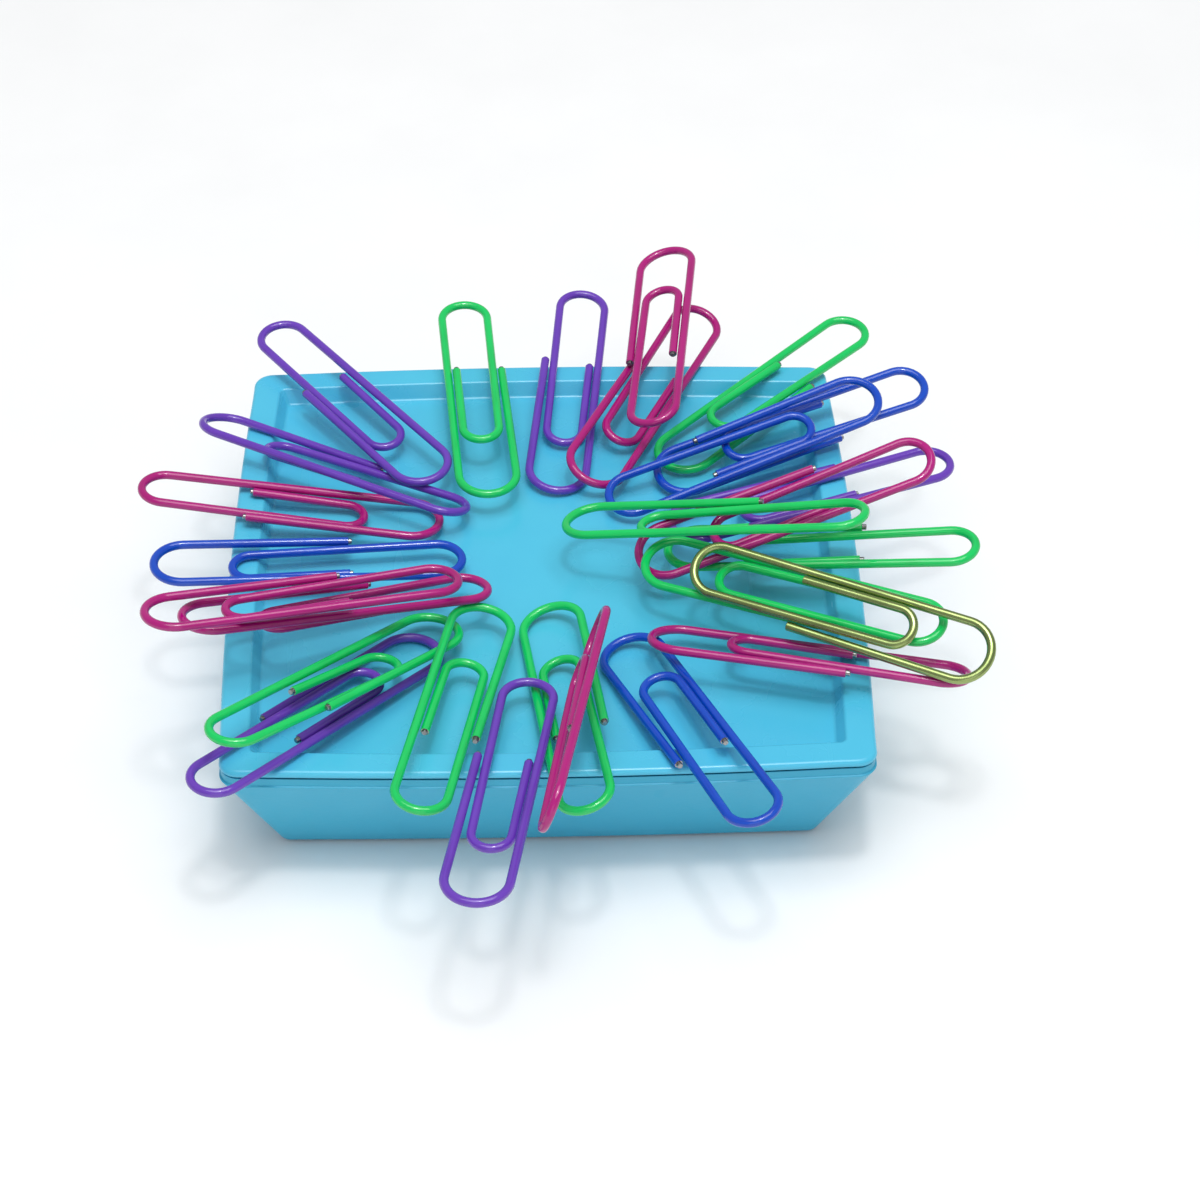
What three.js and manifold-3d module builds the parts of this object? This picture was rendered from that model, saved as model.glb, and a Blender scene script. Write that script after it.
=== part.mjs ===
// Magnetic pin cushion: a square moulded tray with a disc magnet under its floor,
// loaded with coated wire clips that the magnet holds in a ring round its middle.
// Millimetres, +Z up. The origin is under the middle of the tray, on the surface it stands on.
import * as THREE from 'three';
import { mergeVertices } from 'three/addons/utils/BufferGeometryUtils.js';
import Module from 'manifold-3d';

const wasm = await Module();
wasm.setup();

// Clearances
const SEAT_GAP = 0.2; // between pieces that rest face to face
const PART_LINE = 0.35; // open line between the two shells
const PLUG_GAP = 0.3; // between the tray's recess wall and the inside of the base
const SCREW_GAP = 0.3; // round a screw's shank in its holes

// Tray and base, seen from above
const TRAY_HALF = 50; // half the width across the middle of two sides
const SIDE_BOW = 1.2; // how far each side's middle stands out past its ends
const CORNER_RADIUS = 2.8;
const FOOT_HALF = 41; // half the width of the base at its bottom
const FOOT_BOW = 0.45;
const FOOT_CORNER = 1.6;

// Heights
const TRAY_TOP = 22.3;
const EDGE_THICKNESS = 1; // of the tray's outer edge, above the part line
const LIP_HEIGHT = 1.75; // upright band at the top of the base
const LIP_STEP = 0.75; // how far the band stands out past the sloping wall
const PAD_PROUD = 0.3; // how far the non-slip pad stands out of the bottom

// Walls
const RIM_WIDTH = 4.4;
const RIM_FILLET = 0.9;
const RIM_INNER_EASE = 0.3;
const RECESS_CORNER = 0.8; // corners of the recess, at the rim
const RECESS_FOOT_CORNER = 0.5;
const PLUG_CORNER = 1.6; // corners of the tray where it goes down into the base
const RECESS_DEPTH = 2.5;
const RECESS_SLOPE = 1.3; // how far the recess wall leans in from rim to floor
const TRAY_WALL = 1.6;
const BASE_WALL = 2;
const BASE_FLOOR = 2;
const LANDING_WIDTH = 3.8; // width of the base's top face, on which the tray's edge closes
const LANDING_CORNER = 1.2;
const INNER_CORNER = 0.6; // least corner radius inside the base

// Magnet and what holds it
const MAGNET_RADIUS = 16;
const MAGNET_HEIGHT = 6;
const MAGNET_EASE = 0.6;
const POCKET_WALL = 1.6;
const POCKET_DEPTH = 4;
const FOAM_RADIUS = 14;
const FOAM_HEIGHT = 3;
const PEDESTAL_WALL = 1.8;
const PEDESTAL_INSET = 0.6; // how far the pedestal's rim lies inside the foam's edge

// Screws that close the shells, and their posts and bosses
const SCREW_SPREAD = 31; // from the middle, along X and along Y
const SHANK_RADIUS = 1.45;
const SHANK_LENGTH = 12;
const SHANK_POINT = 1.2;
const HEAD_RADIUS = 2.8;
const HEAD_HEIGHT = 2;
const HEAD_DOME = 0.7;
const HEAD_CROWN = 1.7; // radius of the head's flat crown
const POINT_RADIUS = 0.45;
const HOLE_START = 1; // how far a cut starts outside the face that it opens
const HEAD_SINK = 1; // how far the head lies above the bottom of its hole
const POST_RADIUS = 4.6;
const BOSS_RADIUS = 3.6;
const BOSS_HOLE_PAST = 1; // hole past the screw's point
const RIB_WIDTH = 1.6;
const RIB_HEIGHT = 4;

// Non-slip pad
const PAD_HALF = 36.5;
const PAD_THICKNESS = 1.2;
const PAD_CORNER = 4;

// Clip, bent from coated wire
const CLIP_LENGTH = 50;
const WIRE = 1.4;
const WIDE_LOOP = 10.8; // outer widths of the three loops
const NARROW_LOOP = 9.2;
const TONGUE_LOOP = 7.3;
const TONGUE_SETBACK = 12.3; // from the wide end to the tongue's end
const TIP_SETBACK = 32; // from the wide end to both cut ends
const LEG_GAP = 0.1; // between legs that lie side by side
const CONTACT_GAP = 0.2; // between a clip and what it lies on

// Fineness
const SIDE_STEPS = 6;
const CORNER_STEPS = 4;
const FILLET_STEPS = 3;
const ROUND_SIDES = 40;
const SMALL_SIDES = 16;
const WIRE_SIDES = 6;
const BEND_STEPS = 7;
const BEAD_STEP = 0.6; // between the places where a wire is tested for contact

// Heights that follow
const baseBottom = PAD_PROUD;
const floorTop = TRAY_TOP - RECESS_DEPTH;
const floorUnder = floorTop - TRAY_WALL;
const edgeUnder = TRAY_TOP - EDGE_THICKNESS;
const baseTop = edgeUnder - PART_LINE;
const padTop = PAD_THICKNESS;
const padRecess = padTop + SEAT_GAP;
const baseFloorTop = padRecess + BASE_FLOOR;
const magnetTop = floorUnder - SEAT_GAP;
const foamTop = magnetTop - MAGNET_HEIGHT - SEAT_GAP;
const pedestalTop = foamTop - FOAM_HEIGHT - SEAT_GAP;
const headBottom = padRecess + HEAD_SINK;
const headSeat = headBottom + HEAD_HEIGHT + SEAT_GAP;
const postTop = (headSeat + floorUnder) / 2;
const screwTip = headBottom + HEAD_HEIGHT + SHANK_LENGTH;

const landingHalf = TRAY_HALF - LANDING_WIDTH;
const wallTopHalf = TRAY_HALF - LIP_STEP;
const wallLean = (wallTopHalf - FOOT_HALF) / (baseTop - LIP_HEIGHT - baseBottom);

const SKY_BLUE = 0x35a7d8;

const material = (color, roughness, metalness) =>
  new THREE.MeshStandardMaterial({ color, roughness, metalness });

const named = (name, geometry, look) => {
  const mesh = new THREE.Mesh(geometry, look);
  mesh.name = name;
  return mesh;
};

// Square with bowed sides and rounded corners, counter-clockwise
function plan(half, bow, corner) {
  const sideEnd = half - bow - corner;
  const points = [];
  for (let side = 0; side < 4; side += 1) {
    const turnBy = side * Math.PI / 2;
    for (let i = 0; i < SIDE_STEPS; i += 1) {
      const u = sideEnd * (2 * i / SIDE_STEPS - 1);
      const edge = new THREE.Vector2(half - bow * (u / sideEnd) ** 2, u);
      points.push(edge.rotateAround(new THREE.Vector2(), turnBy));
    }
    for (let i = 0; i < CORNER_STEPS; i += 1) {
      const a = i / CORNER_STEPS * Math.PI / 2;
      const arc = new THREE.Vector2(sideEnd + corner * Math.cos(a), sideEnd + corner * Math.sin(a));
      points.push(arc.rotateAround(new THREE.Vector2(), turnBy));
    }
  }
  return points;
}

// Closed solid through a run of rings, each { z, half, bow, corner }, with flat ends
function loft(rings) {
  const outlines = rings.map((ring) => plan(ring.half, ring.bow, ring.corner));
  const count = outlines[0].length;
  const positions = outlines.flatMap((outline, k) => outline.flatMap((p) => [p.x, p.y, rings[k].z]));
  const index = [];
  for (let k = 0; k + 1 < rings.length; k += 1) {
    for (let i = 0; i < count; i += 1) {
      const a = k * count + i;
      const b = k * count + (i + 1) % count;
      index.push(a, b, b + count, a, b + count, a + count);
    }
  }
  const firstMiddle = rings.length * count;
  positions.push(0, 0, rings[0].z, 0, 0, rings[rings.length - 1].z);
  const last = (rings.length - 1) * count;
  for (let i = 0; i < count; i += 1) {
    const j = (i + 1) % count;
    index.push(firstMiddle, j, i, firstMiddle + 1, last + i, last + j);
  }
  const geometry = new THREE.BufferGeometry();
  geometry.setAttribute('position', new THREE.Float32BufferAttribute(positions, 3));
  geometry.setIndex(index);
  return geometry;
}

// Solid of revolution about Z from [radius, z] pairs that start and end on the axis or close on themselves
function revolve(profile, sides, x = 0, y = 0) {
  const geometry = new THREE.LatheGeometry(profile.map(([r, z]) => new THREE.Vector2(r, z)), sides);
  geometry.rotateX(Math.PI / 2);
  return geometry.translate(x, y, 0);
}

const disc = (radius, low, high, sides, x = 0, y = 0) =>
  revolve([[0, low], [radius, low], [radius, high], [0, high]], sides, x, y);

const tubeWall = (inner, outer, low, high, sides) =>
  revolve([[inner, low], [outer, low], [outer, high], [inner, high], [inner, low]], sides);

function toSolid(geometry) {
  const bare = geometry.clone();
  bare.deleteAttribute('normal');
  bare.deleteAttribute('uv');
  const merged = mergeVertices(bare, 1e-4);
  return new wasm.Manifold(new wasm.Mesh({
    numProp: 3,
    vertProperties: new Float32Array(merged.attributes.position.array),
    triVerts: new Uint32Array(merged.index.array),
  }));
}

function fromSolid(solid) {
  const mesh = solid.getMesh();
  const geometry = new THREE.BufferGeometry();
  geometry.setAttribute('position', new THREE.Float32BufferAttribute(mesh.vertProperties, 3));
  geometry.setIndex(Array.from(mesh.triVerts));
  return geometry;
}

// Joins the added geometries to a body and cuts the others out of it
function carve(body, added, cut) {
  let solid = toSolid(body);
  added.forEach((geometry) => { solid = solid.add(toSolid(geometry)); });
  cut.forEach((geometry) => { solid = solid.subtract(toSolid(geometry)); });
  return fromSolid(solid);
}

const screwPlaces = [[-1, -1], [1, -1], [1, 1], [-1, 1]].map(([sx, sy]) => [sx * SCREW_SPREAD, sy * SCREW_SPREAD]);

// Upper shell: flat rim, shallow recess, magnet pocket and screw bosses underneath
function trayTop() {
  const ring = (z, inset, corner) => ({ z, half: TRAY_HALF - inset, bow: SIDE_BOW, corner });
  const edge = Array.from({ length: FILLET_STEPS + 1 }, (_, i) => {
    const a = i / FILLET_STEPS * Math.PI / 2;
    const inset = RIM_FILLET * (1 - Math.cos(a));
    return ring(TRAY_TOP - RIM_FILLET * (1 - Math.sin(a)), inset, CORNER_RADIUS - inset);
  });
  const plugInset = LANDING_WIDTH + PLUG_GAP;
  const recessInset = RIM_WIDTH + RECESS_SLOPE;
  const shell = loft([
    ring(floorUnder, recessInset - TRAY_WALL / 2, PLUG_CORNER),
    ring(floorTop, plugInset, PLUG_CORNER),
    ring(edgeUnder, plugInset, PLUG_CORNER),
    ring(edgeUnder, 0, CORNER_RADIUS),
    ...edge,
    ring(TRAY_TOP, RIM_WIDTH - RIM_INNER_EASE, RECESS_CORNER),
    ring(TRAY_TOP - RIM_INNER_EASE, RIM_WIDTH, RECESS_CORNER),
    ring(floorTop, recessInset, RECESS_FOOT_CORNER),
  ]);
  const rooted = floorTop - TRAY_WALL / 2;
  const pocketInner = MAGNET_RADIUS + SEAT_GAP;
  const pocket = tubeWall(pocketInner, pocketInner + POCKET_WALL, floorUnder - POCKET_DEPTH, rooted, ROUND_SIDES);
  const bossUnder = postTop + SEAT_GAP;
  const bosses = screwPlaces.map(([x, y]) => disc(BOSS_RADIUS, bossUnder, rooted, SMALL_SIDES, x, y));
  const holeTop = Math.min(screwTip + BOSS_HOLE_PAST, rooted);
  const holes = screwPlaces.map(([x, y]) => disc(SHANK_RADIUS + SCREW_GAP, bossUnder - HOLE_START, holeTop, SMALL_SIDES, x, y));
  return carve(shell, [pocket, ...bosses], holes);
}

// Lower shell: sloping walls, upright band at the top, screw posts, pedestal and ribs inside
function baseShell() {
  const bowAt = (half) => THREE.MathUtils.mapLinear(half, FOOT_HALF, wallTopHalf, FOOT_BOW, SIDE_BOW);
  const cornerAt = (half) => THREE.MathUtils.mapLinear(half, FOOT_HALF, wallTopHalf, FOOT_CORNER, CORNER_RADIUS);
  const sloped = (z, inset) => {
    const half = FOOT_HALF + (z - baseBottom) * wallLean;
    return { z, half: half - inset, bow: bowAt(half), corner: Math.max(cornerAt(half) - inset / 2, INNER_CORNER) };
  };
  const lipBottom = baseTop - LIP_HEIGHT;
  const innerInset = BASE_WALL * Math.hypot(1, wallLean);
  const knee = baseBottom + (landingHalf + innerInset - FOOT_HALF) / wallLean;
  const padOutline = { half: PAD_HALF + SEAT_GAP, bow: FOOT_BOW, corner: PAD_CORNER };
  const landing = { half: landingHalf, bow: SIDE_BOW, corner: LANDING_CORNER };
  const shell = loft([
    { z: padRecess, ...padOutline },
    { z: baseBottom, ...padOutline },
    sloped(baseBottom, 0),
    sloped(lipBottom, 0),
    { z: lipBottom, half: TRAY_HALF, bow: SIDE_BOW, corner: CORNER_RADIUS },
    { z: baseTop, half: TRAY_HALF, bow: SIDE_BOW, corner: CORNER_RADIUS },
    { z: baseTop, ...landing },
    { z: knee, ...landing },
    sloped(baseFloorTop, innerInset),
  ]);
  const rooted = baseFloorTop - BASE_FLOOR / 2;
  const posts = screwPlaces.map(([x, y]) => disc(POST_RADIUS, rooted, postTop, SMALL_SIDES, x, y));
  const pedestalOuter = FOAM_RADIUS - PEDESTAL_INSET;
  const pedestal = tubeWall(pedestalOuter - PEDESTAL_WALL, pedestalOuter, rooted, pedestalTop, ROUND_SIDES);
  const ribs = screwPlaces.map(([x, y]) => {
    const reach = Math.hypot(x, y);
    const start = pedestalOuter - PEDESTAL_WALL / 2;
    const rib = new THREE.BoxGeometry(reach - start, RIB_WIDTH, RIB_HEIGHT + BASE_FLOOR / 2);
    rib.translate((reach + start) / 2, 0, rooted + (RIB_HEIGHT + BASE_FLOOR / 2) / 2);
    return rib.rotateZ(Math.atan2(y, x));
  });
  const shankHoles = screwPlaces.map(([x, y]) =>
    disc(SHANK_RADIUS + SCREW_GAP, padRecess - HOLE_START, postTop + HOLE_START, SMALL_SIDES, x, y));
  const headHoles = screwPlaces.map(([x, y]) =>
    disc(HEAD_RADIUS + SCREW_GAP, padRecess - HOLE_START, headSeat, SMALL_SIDES, x, y));
  return carve(shell, [pedestal, ...posts, ...ribs], [...shankHoles, ...headHoles]);
}

function magnetDisc() {
  const low = magnetTop - MAGNET_HEIGHT;
  return revolve([
    [0, low], [MAGNET_RADIUS - MAGNET_EASE, low], [MAGNET_RADIUS, low + MAGNET_EASE],
    [MAGNET_RADIUS, magnetTop - MAGNET_EASE], [MAGNET_RADIUS - MAGNET_EASE, magnetTop], [0, magnetTop],
  ], ROUND_SIDES);
}

// Pan-head self-tapping screw, head down
function screw([x, y]) {
  const neck = headBottom + HEAD_HEIGHT;
  return revolve([
    [0, headBottom], [HEAD_CROWN, headBottom], [HEAD_RADIUS, headBottom + HEAD_DOME], [HEAD_RADIUS, neck],
    [SHANK_RADIUS, neck], [SHANK_RADIUS, screwTip - SHANK_POINT], [POINT_RADIUS, screwTip], [0, screwTip],
  ], SMALL_SIDES, x, y);
}

function nonSlipPad() {
  const outline = { half: PAD_HALF, bow: FOOT_BOW, corner: PAD_CORNER };
  return loft([{ z: 0, ...outline }, { z: padTop, ...outline }]);
}

// Middle line of the clip's wire, from one cut end to the other. X runs from the narrow end to
// the wide end. The tongue slopes evenly until its end stands the spread's height above the rest.
function clipLine(spread) {
  const tip = (CLIP_LENGTH - WIRE) / 2;
  const wide = (WIDE_LOOP - WIRE) / 2;
  const narrow = (NARROW_LOOP - WIRE) / 2;
  const tongue = (TONGUE_LOOP - WIRE) / 2;
  const beside = WIRE + LEG_GAP;
  const narrowX = narrow - tip;
  const narrowY = narrow - wide;
  const tongueX = tip - TONGUE_SETBACK - tongue;
  const tongueY = tongue + beside - wide;
  const tipX = CLIP_LENGTH / 2 - TIP_SETBACK;
  const rise = (x) => spread * (x - narrowX) / (CLIP_LENGTH / 2 - TONGUE_SETBACK - narrowX);
  const bend = (x, y, radius, from) => Array.from({ length: BEND_STEPS + 1 }, (_, i) => {
    const a = from - Math.PI * i / BEND_STEPS;
    return new THREE.Vector3(x + radius * Math.cos(a), y + radius * Math.sin(a), 0);
  });
  const share = (tipX - narrowX) / (tongueX - narrowX);
  const thirdLegY = THREE.MathUtils.lerp(narrowY + narrow, tongueY + tongue, share);
  const sprung = [...bend(tongueX, tongueY, tongue, Math.PI / 2), new THREE.Vector3(tipX, beside - wide, 0)];
  sprung.forEach((p) => p.setZ(rise(p.x)));
  return [
    new THREE.Vector3(tipX, thirdLegY + beside, 0),
    ...bend(tip - wide, 0, wide, Math.PI / 2),
    ...bend(narrowX, narrowY, narrow, -Math.PI / 2),
    ...sprung,
  ];
}

// Wire swept along the clip's middle line, mitred at each step, with flat cut ends
function clipWire(line) {
  const positions = [];
  const plan = line.map((p) => new THREE.Vector2(p.x, p.y));
  line.forEach((p, i) => {
    const before = plan[Math.max(i, 1)].clone().sub(plan[Math.max(i, 1) - 1]).normalize();
    const after = i + 1 < line.length ? plan[i + 1].clone().sub(plan[i]).normalize() : before;
    const way = before.clone().add(after).normalize();
    const stretch = 1 / way.dot(after);
    for (let k = 0; k < WIRE_SIDES; k += 1) {
      const a = 2 * Math.PI * (k + 0.5) / WIRE_SIDES;
      const out = WIRE / 2 * Math.cos(a) * stretch;
      positions.push(p.x - way.y * out, p.y + way.x * out, p.z + WIRE / 2 * Math.sin(a));
    }
  });
  const index = [];
  for (let i = 0; i + 1 < line.length; i += 1) {
    for (let k = 0; k < WIRE_SIDES; k += 1) {
      const a = i * WIRE_SIDES + k;
      const b = i * WIRE_SIDES + (k + 1) % WIRE_SIDES;
      index.push(a, b, b + WIRE_SIDES, a, b + WIRE_SIDES, a + WIRE_SIDES);
    }
  }
  const last = (line.length - 1) * WIRE_SIDES;
  for (let k = 1; k + 1 < WIRE_SIDES; k += 1) {
    index.push(0, k + 1, k, last, last + k, last + k + 1);
  }
  const geometry = new THREE.BufferGeometry();
  geometry.setAttribute('position', new THREE.Float32BufferAttribute(positions, 3));
  geometry.setIndex(index);
  return geometry;
}

// Height of the tray's top surface at a place
function trayHeight(x, y) {
  const sideAt = (u) => TRAY_HALF - SIDE_BOW * (u / TRAY_HALF) ** 2;
  const inset = Math.min(sideAt(y) - Math.abs(x), sideAt(x) - Math.abs(y));
  if (inset < 0) return -Infinity;
  if (inset <= RIM_WIDTH) return TRAY_TOP;
  return TRAY_TOP - RECESS_DEPTH * Math.min(1, (inset - RIM_WIDTH) / RECESS_SLOPE);
}

// Points along a line, close enough together to test the wire for contact
const beads = (line) => line.flatMap((p, i) => {
  const q = line[Math.min(i + 1, line.length - 1)];
  const steps = Math.max(1, Math.ceil(p.distanceTo(q) / BEAD_STEP));
  return Array.from({ length: steps }, (_, k) => p.clone().lerp(q, k / steps));
});

// Where a clip is when the magnet's field holds it at its tilt and lean, before it is let down
function clipFrame(clip) {
  const radians = THREE.MathUtils.degToRad;
  const rise = Math.tan(radians(clip.tilt));
  const roll = Math.tan(radians(clip.lean));
  const inwards = radians(clip.heading);
  const slopeX = rise * Math.cos(inwards) - roll * Math.sin(inwards);
  const slopeY = rise * Math.sin(inwards) + roll * Math.cos(inwards);
  const way = radians(clip.heading + (clip.wideOut ? 0 : 180));
  const along = new THREE.Vector3(Math.cos(way), Math.sin(way), 0);
  along.z = slopeX * along.x + slopeY * along.y;
  along.normalize();
  const normal = new THREE.Vector3(-slopeX, -slopeY, 1).normalize().multiplyScalar(clip.turned ? -1 : 1);
  const across = normal.clone().cross(along);
  const bearing = radians(clip.bearing);
  const centre = new THREE.Vector3(clip.reach * Math.cos(bearing), clip.reach * Math.sin(bearing), 0);
  centre.addScaledVector(along, (clip.wideOut ? 1 : -1) * CLIP_LENGTH / 2);
  centre.z = 0;
  return new THREE.Matrix4().makeBasis(along, across, normal).setPosition(centre);
}

// How far a wire through the first point must rise to clear a wire through the second
function clearRise(p, q) {
  const apart = (WIRE + CONTACT_GAP) ** 2 - (p.x - q.x) ** 2 - (p.y - q.y) ** 2;
  return apart > 0 ? q.z + Math.sqrt(apart) - p.z : -Infinity;
}

// Lets one clip down on the tray and on the wires that are there already, and adds its wire to them
function layClip(clip, line, pile) {
  const frame = clipFrame(clip);
  const wire = beads(line).map((p) => p.applyMatrix4(frame));
  const lift = wire.reduce((high, p) => pile.reduce((top, q) => Math.max(top, clearRise(p, q)),
    Math.max(high, trayHeight(p.x, p.y) + WIRE / 2 + CONTACT_GAP - p.z)), -Infinity);
  wire.forEach((p) => p.setZ(p.z + lift));
  pile.push(...wire);
  return new THREE.Matrix4().makeTranslation(0, 0, lift).multiply(frame);
}

// Clips in the order in which they were dropped on. bearing and reach give the place of a
// clip's inner end round the middle of the tray, heading the way its outer end points, in
// degrees and millimetres. tilt lifts its outer end, and lean its left side as seen from the
// middle. spread is how far its tongue's end stands out of its plane. A wideOut clip has its
// wide loop outwards, and a turned one lies face down.
const CLIPS = [
  { name: 'clip_04_blue', bearing: -177, reach: 12.5,
    heading: -176, tilt: 2.5, lean: 1.5, spread: 1, wideOut: true, turned: true },
  { name: 'clip_03_magenta', bearing: 151, reach: 18.5,
    heading: 174, tilt: 4.5, lean: 4.5, spread: 1, turned: true },
  { name: 'clip_02_purple', bearing: 140, reach: 15.5,
    heading: 153, tilt: 2.5, lean: 22.5, spread: 1, wideOut: true, turned: true },
  { name: 'clip_01_purple', bearing: 135, reach: 24,
    heading: 127.5, tilt: 2.5, lean: -3.5, spread: 1.5, turned: true },
  { name: 'clip_08_purple', bearing: -133, reach: 25.5,
    heading: -134.5, tilt: 4.5, lean: 2.5, spread: 0.5 },
  { name: 'clip_07_green', bearing: -132.5, reach: 21.5,
    heading: -133, tilt: 10.5, lean: 4, spread: 2, turned: true },
  { name: 'clip_09_green', bearing: -122, reach: 17,
    heading: -101, tilt: 4, lean: -8.5, spread: 1.5, turned: true },
  { name: 'clip_06_magenta', bearing: -133, reach: 13,
    heading: -160.5, tilt: 9, lean: 12.5, spread: 2, wideOut: true, turned: true },
  { name: 'clip_05_magenta', bearing: -134, reach: 19,
    heading: -162.5, tilt: 6.5, lean: 10.5, spread: 1, wideOut: true, turned: true },
  { name: 'clip_11_green', bearing: -88.5, reach: 12,
    heading: -83, tilt: 4.5, lean: 15.5, spread: 1, turned: true },
  { name: 'clip_10_purple', bearing: -95.5, reach: 31.5,
    heading: -99.5, tilt: 3, lean: 0, spread: 1, wideOut: true, turned: true },
  { name: 'clip_13_blue', bearing: -59.5, reach: 22.5,
    heading: -68, tilt: 6, lean: 10, spread: 1 },
  { name: 'clip_14_magenta', bearing: -55.5, reach: 27.5,
    heading: -14, tilt: 1, lean: -21.5, spread: 0.5 },
  { name: 'clip_12_magenta', bearing: -71, reach: 25.5,
    heading: -100.5, tilt: 5.5, lean: 72, spread: 1 },
  { name: 'clip_20_purple', bearing: 13, reach: 20.5,
    heading: 19.5, tilt: 1, lean: -2.5, spread: 0.5, turned: true },
  { name: 'clip_17_green', bearing: -5.5, reach: 19,
    heading: -8, tilt: 7, lean: -0.5, spread: 1, turned: true },
  { name: 'clip_19_magenta', bearing: -22, reach: 15.5,
    heading: 12.5, tilt: 16, lean: 14.5, spread: 1, turned: true },
  { name: 'clip_16_green', bearing: -24.5, reach: 17,
    heading: -26.5, tilt: 3, lean: 12.5, spread: -0.5 },
  { name: 'clip_15_gold', bearing: -30.5, reach: 26,
    heading: -27.5, tilt: 0.5, lean: 32.5, spread: -1, wideOut: true, turned: true },
  { name: 'clip_23_green', bearing: 49, reach: 30.5,
    heading: 43.5, tilt: 4, lean: 1.5, spread: 1 },
  { name: 'clip_22_blue', bearing: 45.5, reach: 26.5,
    heading: 21, tilt: 6.5, lean: 11.5, spread: 1 },
  { name: 'clip_26_purple', bearing: 83.5, reach: 17,
    heading: 84, tilt: 6, lean: 5.5, spread: 1, turned: true },
  { name: 'clip_24_magenta', bearing: 68, reach: 18,
    heading: 64.5, tilt: 2.5, lean: 19, spread: 1, turned: true },
  { name: 'clip_21_blue', bearing: 52.5, reach: 16.5,
    heading: 21.5, tilt: 9, lean: 11, spread: -1, wideOut: true },
  { name: 'clip_18_green', bearing: 31, reach: 3.5,
    heading: -14.5, tilt: 13, lean: -10, spread: 1, turned: true },
  { name: 'clip_25_magenta', bearing: 55, reach: 30,
    heading: 83.5, tilt: 1, lean: -17, spread: 0.5, wideOut: true },
  { name: 'clip_27_green', bearing: 125, reach: 15,
    heading: 94.5, tilt: 3.5, lean: 0.5, spread: 1 },
];

const COATINGS = {
  magenta: material(0xb3166f, 0.32, 0),
  purple: material(0x5b2fb0, 0.32, 0),
  blue: material(0x1644b8, 0.32, 0),
  green: material(0x12c456, 0.32, 0),
  gold: material(0xb5b563, 0.28, 1),
};

const cushion = new THREE.Group();
cushion.add(
  named('tray_top', trayTop(), material(SKY_BLUE, 0.35, 0)),
  named('base_shell', baseShell(), material(SKY_BLUE, 0.38, 0)),
  named('disc_magnet', magnetDisc(), material(0x2e2d2f, 0.6, 0.3)),
  named('magnet_foam_pad', disc(FOAM_RADIUS, foamTop - FOAM_HEIGHT, foamTop, ROUND_SIDES), material(0x3a3a3d, 0.95, 0)),
  named('non_slip_pad', nonSlipPad(), material(0x232427, 0.9, 0)),
);
screwPlaces.forEach((place, i) => {
  cushion.add(named(`case_screw_${i + 1}`, screw(place), material(0xb9bcc0, 0.35, 1)));
});

const pile = [];
CLIPS.forEach((clip) => {
  const line = clipLine(clip.spread);
  const colour = clip.name.split('_').pop();
  const mesh = named(clip.name, clipWire(line), COATINGS[colour].clone());
  mesh.applyMatrix4(layClip(clip, line, pile));
  cushion.add(mesh);
});

export default cushion;
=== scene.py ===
"""Magnetic pin cushion: a square two-shell tray that holds a ring of bent wire clips."""
from __future__ import annotations

import logging
import math
import random
from dataclasses import dataclass, field
from enum import Enum

import bmesh
import bpy
from mathutils import Matrix, Vector


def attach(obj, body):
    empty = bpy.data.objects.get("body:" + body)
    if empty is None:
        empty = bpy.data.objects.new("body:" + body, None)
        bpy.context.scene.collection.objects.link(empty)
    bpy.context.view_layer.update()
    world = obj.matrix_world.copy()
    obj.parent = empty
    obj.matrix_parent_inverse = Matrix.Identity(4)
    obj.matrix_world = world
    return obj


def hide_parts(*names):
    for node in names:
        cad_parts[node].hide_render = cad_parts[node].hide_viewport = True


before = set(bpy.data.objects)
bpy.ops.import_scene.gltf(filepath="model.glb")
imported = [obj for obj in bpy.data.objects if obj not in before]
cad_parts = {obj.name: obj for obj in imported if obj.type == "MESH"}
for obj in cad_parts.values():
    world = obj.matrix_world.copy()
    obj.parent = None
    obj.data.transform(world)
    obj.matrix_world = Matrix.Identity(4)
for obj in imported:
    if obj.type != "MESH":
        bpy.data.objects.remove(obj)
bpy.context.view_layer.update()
LOG = logging.getLogger("pin_cushion")
MM = 0.001
MICRON = 0.000001
FLOAT = "NodeSocketFloat"
WIRE_SKIN = "wire_skin"
SHARP_ANGLE = math.radians(38)
Colour = tuple[float, float, float]
Socket = bpy.types.NodeSocket


def linear(value: int) -> float:
    """Turns one channel of a screen colour into its linear share.

    Args:
        value: The channel, 0 to 255.

    Returns:
        The linear share, 0 to 1.
    """
    knee, slope, offset, power = 0.04045, 12.92, 0.055, 2.4
    share = value / 255
    if share <= knee:
        return share / slope
    return ((share + offset) / (1 + offset)) ** power


def srgb(red: int, green: int, blue: int) -> Colour:
    """Turns a screen colour, 0 to 255 a channel, into the linear one that shaders use."""
    return linear(red), linear(green), linear(blue)


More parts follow.
